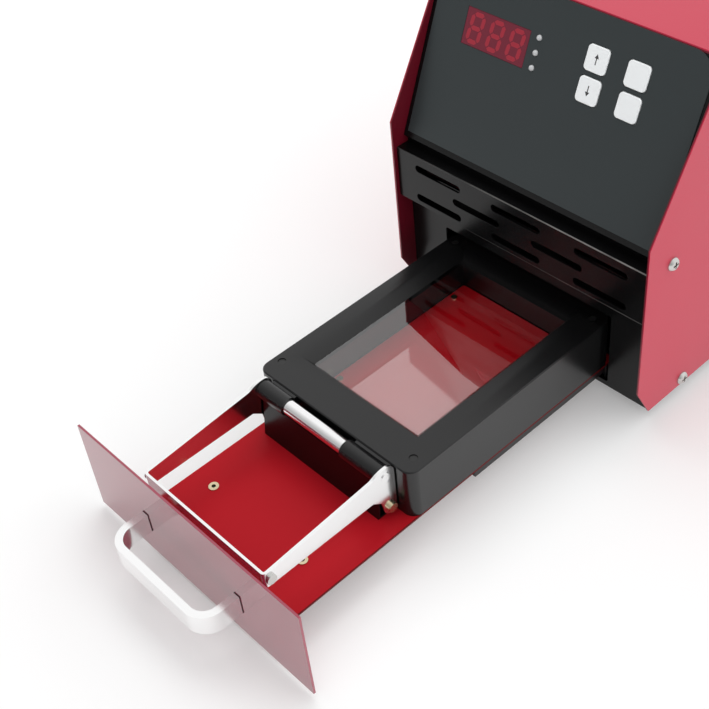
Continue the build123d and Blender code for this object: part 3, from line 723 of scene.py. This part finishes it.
def pan_head(shape, matrix, radius, height):
    """A domed head with a cross recess, standing on the matrix's plane."""
    line = []
    for out, rise in PAN_PROFILE:
        line.append(shape.verts.new(matrix @ Vector((radius * out, 0.0, height * rise))))
    edges = [shape.edges.new(pair) for pair in zip(line, line[1:])]
    bmesh.ops.spin(
        shape,
        geom=line + edges,
        cent=matrix.translation,
        axis=matrix.to_3x3() @ Vector((0.0, 0.0, 1.0)),
        angle=2 * math.pi,
        steps=PAN_STEPS,
        use_merge=True,
    )
    crown, top = PAN_PROFILE[-1]
    reach = radius * crown
    level = height * top
    near = reach / 100
    inward = matrix.inverted()

    def on_crown(vert):
        spot = inward @ vert.co
        return abs(spot.z - level) < near and abs(spot.to_2d().length - reach) < near

    loop = [edge for edge in shape.edges if on_crown(edge.verts[0]) and on_crown(edge.verts[1])]
    arm = radius * RECESS_ARM
    half = radius * RECESS_HALF_WIDTH
    corners = []
    for quarter in range(4):
        turn = Matrix.Rotation(quarter * math.pi / 2, 2)
        for point in ((arm, -half), (arm, half), (half, half)):
            corners.append(turn @ Vector(point))
    mouth = [shape.verts.new(matrix @ Vector((p.x, p.y, level))) for p in corners]
    lid = shape.faces.new(mouth)
    loop += lid.edges
    sunk = bmesh.ops.extrude_face_region(shape, geom=[lid])["geom"]
    floor = [item for item in sunk if isinstance(item, bmesh.types.BMVert)]
    for vert in floor:
        spot = inward @ vert.co
        vert.co = matrix @ Vector((spot.x * RECESS_TAPER, spot.y * RECESS_TAPER, height * RECESS_FLOOR))
    if lid.is_valid:
        bmesh.ops.delete(shape, geom=[lid], context="FACES_ONLY")
    bmesh.ops.triangle_fill(shape, use_beauty=True, use_dissolve=False, edges=loop)


def merged(node):
    """A copy of a CAD node with its loose triangles joined into flat faces."""
    shape = bmesh.new()
    shape.from_mesh(frame["nodes"][node].data)
    bmesh.ops.remove_doubles(shape, verts=shape.verts, dist=WELD)
    tidy(shape)
    return shape


def tidy(shape):
    """Joins the faces that lie in one plane."""
    limit = math.radians(PLANE_ANGLE)
    bmesh.ops.dissolve_limit(shape, angle_limit=limit, verts=shape.verts, edges=shape.edges)


def round_edges(shape, width, segments=2, angle=30.0):
    """Rounds every edge that is sharper than the angle."""
    sharp = [e for e in shape.edges if e.is_manifold and e.calc_face_angle(0.0) > math.radians(angle)]
    bmesh.ops.bevel(
        shape,
        geom=sharp,
        offset=width,
        offset_type="OFFSET",
        segments=segments,
        profile=0.5,
        affect="EDGES",
        clamp_overlap=True,
        material=-1,
    )
    return shape


def without(shape, boxes):
    """The solid with boxes, given by their lowest and highest corners, cut out of it."""
    for low, high in boxes:
        cutter = bmesh.new()
        bmesh.ops.create_cube(cutter, size=1.0, matrix=box_matrix(low, high))
        pair = []
        for name, part in (("solid", shape), ("cutter", cutter)):
            mesh = bpy.data.meshes.new(name)
            part.to_mesh(mesh)
            part.free()
            pair.append(bpy.data.objects.new(name, mesh))
            bpy.context.scene.collection.objects.link(pair[-1])
        change = pair[0].modifiers.new("cut", "BOOLEAN")
        change.object = pair[1]
        change.operation = "DIFFERENCE"
        change.solver = "EXACT"
        bpy.context.view_layer.update()
        view = bpy.context.evaluated_depsgraph_get()
        shape = bmesh.new()
        shape.from_mesh(pair[0].evaluated_get(view).to_mesh())
        for item in pair:
            bpy.data.meshes.remove(item.data)
    tidy(shape)
    return shape


def box_matrix(low, high):
    """Turns a cube of side one into the box between two corners."""
    low = Vector(low)
    high = Vector(high)
    return Matrix.Translation((low + high) / 2) @ Matrix.Diagonal((*(high - low), 1.0))


class STAMP_OT_paint_frame(bpy.types.Operator):
    """Gives every carried-over node its finish"""

    bl_idname = "stamp.paint_frame"
    bl_label = "Paint the frame"

    def execute(self, context):
        made = finishes()
        for name, piece in frame["nodes"].items():
            piece.data.materials.clear()
            piece.data.materials.append(made[SLOTS[name]])
        bed = mirror_paint("bed_paint", context.scene.stamp_colours.bed_red)
        frame["nodes"]["press_bed"].data.materials[0] = bed
        slot_plate = slot_plate_paint(context.scene.stamp_colours.sheet_black, SHEET_ROUGHNESS)
        frame["nodes"]["vent_plate"].data.materials[0] = slot_plate
        return {"FINISHED"}


class STAMP_OT_soften(bpy.types.Operator):
    """Rounds the edges of the larger sheets and castings"""

    bl_idname = "stamp.soften"
    bl_label = "Round the edges"

    def execute(self, context):
        for node, width in SOFT_NODES.items():
            shape = round_edges(merged(node), width * MM)
            new_piece(node + "_rounded", shape, BODY_OF[node], replaces=[node])
        return {"FINISHED"}


class STAMP_OT_vent_shelf(bpy.types.Operator):
    """The folded slot plate with its top flange, a shelf below the panel"""

    bl_idname = "stamp.vent_shelf"
    bl_label = "Slot plate"

    def execute(self, context):
        plate_round = 0.35 * MM
        shelf_round = 0.3 * MM
        sheet = 1.2 * MM
        lap = 0.03 * MM
        low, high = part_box("vent_plate")
        shape = round_edges(merged("vent_plate"), plate_round)
        under = (low[0] + lap, low[1] + lap, high[2] - sheet)
        over = (high[0] - lap, high[1] - lap, high[2] - lap)
        shelf = bmesh.new()
        bmesh.ops.create_cube(shelf, size=1.0, matrix=box_matrix(under, over))
        round_edges(shelf, shelf_round)
        add_shape(shape, shelf)
        new_piece("vent_plate_folded", shape, "housing", replaces=["vent_plate"])
        return {"FINISHED"}


class STAMP_OT_tray(bpy.types.Operator):
    """The drawer plate, stepped in on the left in front of the lid"""

    bl_idname = "stamp.tray"
    bl_label = "Drawer plate"

    def execute(self, context):
        sizes = context.scene.stamp_sizes
        edge_round = 0.3 * MM
        past = 10 * MM
        low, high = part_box("tray_plate")
        front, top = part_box("lid_frame")[0][1:]
        step = ((low[0] - past, low[1] - past, low[2] - past), (low[0] + sizes.tray_cut, front, top + past))
        boxes = [step]
        for side, edge in ((-1, low[0]), (1, high[0])):
            left, right = sorted((edge - side * sizes.lip_cut, edge + side * past))
            boxes.append(((left, high[1] - past, top), (right, high[1] + past, high[2] + past)))
        shape = round_edges(without(merged("tray_plate"), boxes), edge_round)
        new_piece("tray_plate_stepped", shape, "drawer", replaces=["tray_plate"])
        return {"FINISHED"}


class STAMP_OT_strap(bpy.types.Operator):
    """The clamp lever: a strap bent to a U, with cheeks on the hinge rod"""

    bl_idname = "stamp.strap"
    bl_label = "Clamp lever"

    def execute(self, context):
        sizes = context.scene.stamp_sizes
        cheek_reach = 9.0 * MM
        corner_round = 2.2 * MM
        edge_round = 0.2 * MM
        near = 0.1 * MM
        hinge = Vector(JOINTS["lever_hinge"]["pos_m"])
        bolt_low, bolt_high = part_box("crank_bolts")
        bolt = (bolt_low[2] + bolt_high[2]) / 2 - hinge.z
        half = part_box("clamp_yoke")[1][0]
        front = hinge.y - sizes.strap_reach
        neck = hinge.y - cheek_reach
        low = (-half, front, hinge.z - sizes.strap_low)
        high = (half, neck, hinge.z - sizes.strap_high)
        shape = bmesh.new()
        bmesh.ops.create_cube(shape, size=1.0, matrix=box_matrix(low, high))
        shape.normal_update()
        spare = [face for face in shape.faces if abs(face.normal.z) > 0.5 or face.normal.y > 0.5]
        bmesh.ops.delete(shape, geom=spare, context="FACES_ONLY")
        loose = [edge for edge in shape.edges if not edge.link_faces]
        bmesh.ops.delete(shape, geom=loose, context="EDGES")
        for side in (-1, 1):
            self.cheek(shape, side * half, hinge, neck, bolt, near)
        upright = [
            edge
            for edge in shape.edges
            if len(edge.link_faces) == 2 and abs(edge.verts[0].co.y - front) < near
        ]
        bmesh.ops.bevel(
            shape, geom=upright, offset=corner_round, segments=5, profile=0.5, affect="EDGES", material=-1
        )
        bmesh.ops.recalc_face_normals(shape, faces=shape.faces)
        bmesh.ops.solidify(shape, geom=shape.faces[:], thickness=sizes.strap_sheet)
        round_edges(shape, edge_round)
        new_piece("clamp_strap", shape, "clamp_lever", replaces=["clamp_yoke"])
        return {"FINISHED"}

    def cheek(self, shape, across, hinge, neck, bolt, near):
        """Carries one arm on round the rod and down to the crank bolt."""
        rear = [v for v in shape.verts if abs(v.co.x - across) < near and abs(v.co.y - neck) < near]
        under, over = sorted(rear, key=lambda vert: vert.co.z)
        shoulder = 3.4 * MM
        crown = 5.8 * MM
        foot = bolt - 3.9 * MM
        over.co.z = hinge.z + shoulder
        # Each corner: how far behind the rod, how far above it, and its round
        corners = (
            (-3.5 * MM, bolt + 6.1 * MM, 0.0),
            (-2.1 * MM, foot, 3.4 * MM),
            (crown - 0.1 * MM, foot, 3.4 * MM),
            (crown, crown, 5.2 * MM),
            (-3.6 * MM, crown, 3.0 * MM),
        )
        made = []
        for y, z, radius in corners:
            made.append((shape.verts.new((across, hinge.y + y, hinge.z + z)), radius))
        shape.faces.new([under, *[vert for vert, radius in made], over])
        for vert, radius in made:
            if radius > 0:
                bmesh.ops.bevel(
                    shape, geom=[vert], offset=radius, segments=6, profile=0.5, affect="VERTICES", material=-1
                )


class STAMP_OT_rivet_stems(bpy.types.Operator):
    """Stems inside the drawer plate's rivets, made near-black as painted shade of the deep holes"""

    bl_idname = "stamp.rivet_stems"
    bl_label = "Rivet stems"

    def execute(self, context):
        sizes = context.scene.stamp_sizes
        sunk = 0.9 * MM
        end_round = 0.2 * MM
        shape = bmesh.new()
        for island in islands(frame["nodes"]["plate_eyelets"]):
            middle = sum(island, Vector()) / len(island)
            foot = min(p.z for p in island)
            top = max(p.z for p in island) - sunk
            place = Matrix.Translation((middle.x, middle.y, (foot + top) / 2))
            bmesh.ops.create_cone(
                shape,
                cap_ends=True,
                segments=24,
                radius1=sizes.rivet_stem / 2,
                radius2=sizes.rivet_stem / 2,
                depth=top - foot,
                matrix=place,
            )
        round_edges(shape, end_round, angle=50.0)
        new_piece("rivet_stems", shape, "drawer", material=self.shaded_stem_steel())
        return {"FINISHED"}

    def shaded_stem_steel(self):
        """Dull steel stem, its near-black colour a painted shade of the deep rivet hole."""
        # Near-black colour: painted shade of the deep rivet hole
        colour = (0.035, 0.045, 0.035)
        least = 0.35
        swing = 0.3
        recipe = Recipe("rivet_stem")
        roughness = least + recipe.noise(STEM_GRAINS, COARSE) * swing
        return recipe.finish(recipe.shader(Base_Color=colour, Metallic=0.6, Roughness=roughness))


class STAMP_OT_figures(bpy.types.Operator):
    """Three dim figures on the face of the display window"""

    bl_idname = "stamp.figures"
    bl_label = "Display figures"

    def execute(self, context):
        sizes = context.scene.stamp_sizes
        low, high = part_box("display_lens")
        middle = (Vector(low) + Vector(high)) / 2
        face = panel_matrix(middle, sizes.panel_lean)
        rise = max((face.inverted() @ v.co).z for v in frame["nodes"]["display_lens"].data.vertices)
        shape = bmesh.new()
        for column in (-1, 0, 1):
            self.figure(shape, sizes, face, column * sizes.figure_pitch, rise)
        new_piece("display_figures", shape, "housing", material=self.dim_red())
        return {"FINISHED"}

    def dim_red(self):
        """A red just brighter than the window that the figures stand on."""
        recipe = Recipe("display_figure")
        values = {
            "Base_Color": (0.30, 0.012, 0.030),
            "Roughness": 0.35,
            "Emission_Color": (0.9, 0.02, 0.05),
            "Emission_Strength": 0.05,
        }
        return recipe.finish(recipe.shader(**values))

    def figure(self, shape, sizes, face, across, rise):
        """One figure with all seven bars, pointed at their ends and leaning a little."""
        end_gap = 0.35
        slant = 0.10
        half = (sizes.figure_width - sizes.figure_bar) / 2
        tall = (sizes.figure_height - sizes.figure_bar) / 2
        side = sizes.figure_bar / 2
        for start, end in FIGURE_BARS:
            first = Vector((start[0] * half, start[1] * tall))
            last = Vector((end[0] * half, end[1] * tall))
            along = (last - first).normalized()
            normal = Vector((-along.y, along.x))
            first += along * side * end_gap
            last -= along * side * end_gap
            outline = [
                first,
                first + (along + normal) * side,
                last + (normal - along) * side,
                last,
                last - (normal + along) * side,
                first + (along - normal) * side,
            ]
            points = [(across + p.x + p.y * slant, p.y) for p in outline]
            add_flat(shape, points, rise - PRINT_SUNK, FIGURE_SKIN, face)


class STAMP_OT_arrows(bpy.types.Operator):
    """The up and down arrows on the two left keys"""

    bl_idname = "stamp.arrows"
    bl_label = "Key arrows"

    def execute(self, context):
        sizes = context.scene.stamp_sizes
        recipe = Recipe("arrow_ink")
        ink = recipe.finish(recipe.shader(Base_Color=(0.06, 0.06, 0.06), Roughness=0.6))
        half = sizes.arrow_length / 2
        stem = 0.28 * MM
        head = 1.25 * MM
        neck = half - 2.1 * MM
        outline = (
            (-stem, -half),
            (stem, -half),
            (stem, neck),
            (head, neck),
            (0, half),
            (-head, neck),
            (-stem, neck),
        )
        for key, sense in (("button_up", 1), ("button_down", -1)):
            place = Vector(JOINTS[key + "_press"]["pos_m"])
            face = panel_matrix(place, sizes.panel_lean)
            rise = max((face.inverted() @ v.co).z for v in frame["nodes"][key].data.vertices)
            points = [(x, y * sense) for x, y in outline]
            shape = bmesh.new()
            add_flat(shape, points, rise - PRINT_SUNK, ARROW_SKIN, face)
            new_piece(key + "_arrow", shape, key, material=ink)
        return {"FINISHED"}


class STAMP_OT_screws(bpy.types.Operator):
    """Pan head cross screws in the cover"""

    bl_idname = "stamp.screws"
    bl_label = "Cover screws"

    def execute(self, context):
        sizes = context.scene.stamp_sizes
        rise = 2.2 * MM
        shape = bmesh.new()
        for island in islands(frame["nodes"]["cover_screws"]):
            middle = sum(island, Vector()) / len(island)
            side = math.copysign(1.0, middle.x)
            outer = max(p.x * side for p in island)
            low = min(p.y for p in island)
            high = max(p.y for p in island)
            foot = min(p.z for p in island)
            top = max(p.z for p in island)
            place = Vector((side * (outer - rise), (low + high) / 2, (foot + top) / 2))
            turn = Matrix.Rotation(side * math.pi / 2, 4, "Y")
            pan_head(shape, Matrix.Translation(place) @ turn, sizes.screw_head / 2, rise)
        new_piece("cover_screw_heads", shape, "housing", replaces=["cover_screws"])
        return {"FINISHED"}


class STAMP_OT_stage(bpy.types.Operator):
    """Floor, lamps, sky and camera"""

    bl_idname = "stamp.stage"
    bl_label = "Set the stage"

    def execute(self, context):
        stage = context.scene.stamp_stage
        self.floor(stage)
        self.sky(context.scene, stage)
        self.lamps(stage)
        self.camera(context.scene, stage)
        context.scene.view_settings.view_transform = "Standard"
        return {"FINISHED"}

    def floor(self, stage):
        """Pale and matt, with a share of plain white for the camera and for mirrors."""
        white_seen = 0.22
        white_mirrored = 0.35
        shape = bmesh.new()
        bmesh.ops.create_grid(shape, x_segments=1, y_segments=1, size=stage.floor_size / 2)
        mesh = bpy.data.meshes.new("floor")
        shape.to_mesh(mesh)
        shape.free()
        recipe = Recipe("floor_white")
        matte = recipe.node("ShaderNodeBsdfDiffuse", None, {"Color": (0.93, 0.93, 0.93)})
        shine = recipe.node("ShaderNodeEmission", None, {"Color": (1, 1, 1), "Strength": 1.0})
        seen = recipe.node("ShaderNodeLightPath", output="Is Camera Ray")
        mirrored = recipe.node("ShaderNodeLightPath", output="Is Glossy Ray")
        share = seen * white_seen + mirrored * white_mirrored
        mixed = recipe.node("ShaderNodeMixShader", None, {0: share, 1: matte, 2: shine})
        mesh.materials.append(recipe.finish(mixed))
        floor = bpy.data.objects.new("floor", mesh)
        bpy.context.scene.collection.objects.link(floor)

    def sky(self, scene, stage):
        """White to the camera, and a soft slope of light to everything else."""
        mirrored_middle = 0.90
        mirrored_slope = 0.6
        mirrored_least = 0.45
        world = bpy.data.worlds.new("studio")
        scene.world = world
        recipe = Recipe("studio", world)
        where = recipe.node("ShaderNodeTexCoord", output="Generated")
        across = recipe.node("ShaderNodeSeparateXYZ", None, {0: where}, output="X")
        depth = recipe.node("ShaderNodeSeparateXYZ", None, {0: where}, output="Y")
        even = across * stage.slope_right + depth * stage.slope_rear + stage.sky
        behind = depth * mirrored_slope + mirrored_middle
        limits = {"Value": behind, "Min": mirrored_least, "Max": 1.0}
        gloss = recipe.node("ShaderNodeClamp", None, limits, output="Result")
        seen = recipe.node("ShaderNodeLightPath", output="Is Camera Ray")
        mirrored = recipe.node("ShaderNodeLightPath", output="Is Glossy Ray")
        strength = even * (1.0 - mirrored) + gloss * mirrored
        strength = strength * (1.0 - seen) + seen
        light = recipe.node("ShaderNodeBackground", None, {"Color": (1, 1, 1), "Strength": strength})
        recipe.finish(light)

    def lamps(self, stage):
        """One large soft lamp, up and to the left, that no gloss mirrors."""
        side = 1.1
        place = Vector((-0.45, 0.10, 1.35))
        target = Vector((0.0, -0.05, 0.05))
        lamp = bpy.data.lights.new("key_lamp", "AREA")
        lamp.energy = stage.key_power
        lamp.shape = "SQUARE"
        lamp.size = side
        holder = bpy.data.objects.new("key_lamp", lamp)
        holder.visible_glossy = False
        holder.location = place
        aim = target - place
        holder.rotation_mode = "QUATERNION"
        holder.rotation_quaternion = aim.to_track_quat("-Z", "Y")
        bpy.context.scene.collection.objects.link(holder)

    def camera(self, scene, stage):
        """The photograph's view, fitted to its straight edges."""
        data = bpy.data.cameras.new("camera")
        data.sensor_width = 36.0
        data.lens = stage.lens
        data.clip_start = 10 * MM
        data.clip_end = 50.0
        camera = bpy.data.objects.new("camera", data)
        camera.matrix_world = Matrix.LocRotScale(stage.eye, Euler(stage.turn), None)
        scene.collection.objects.link(camera)
        scene.camera = camera


class STAMP_PT_panel(bpy.types.Panel):
    """The steps, in order"""

    bl_idname = "STAMP_PT_panel"
    bl_label = "Stamp machine"
    bl_space_type = "VIEW_3D"
    bl_region_type = "UI"
    bl_category = "Stamp"

    def draw(self, context):
        for step in STEPS:
            self.layout.operator(step.bl_idname)


STEPS = (
    STAMP_OT_paint_frame,
    STAMP_OT_soften,
    STAMP_OT_vent_shelf,
    STAMP_OT_tray,
    STAMP_OT_strap,
    STAMP_OT_rivet_stems,
    STAMP_OT_figures,
    STAMP_OT_arrows,
    STAMP_OT_screws,
    STAMP_OT_stage,
)
GROUPS = (StampColours, StampSizes, StampStage)


def register():
    for kind in (*GROUPS, *STEPS, STAMP_PT_panel):
        bpy.utils.register_class(kind)
    bpy.types.Scene.stamp_colours = bpy.props.PointerProperty(type=StampColours)
    bpy.types.Scene.stamp_sizes = bpy.props.PointerProperty(type=StampSizes)
    bpy.types.Scene.stamp_stage = bpy.props.PointerProperty(type=StampStage)


def unregister():
    del bpy.types.Scene.stamp_stage
    del bpy.types.Scene.stamp_sizes
    del bpy.types.Scene.stamp_colours
    for kind in reversed((*GROUPS, *STEPS, STAMP_PT_panel)):
        bpy.utils.unregister_class(kind)


def main():
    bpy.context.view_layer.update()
    register()
    for step in STEPS:
        group, name = step.bl_idname.split(".")
        getattr(getattr(bpy.ops, group), name)()
    bpy.context.view_layer.update()


if __name__ == "__main__":
    main()
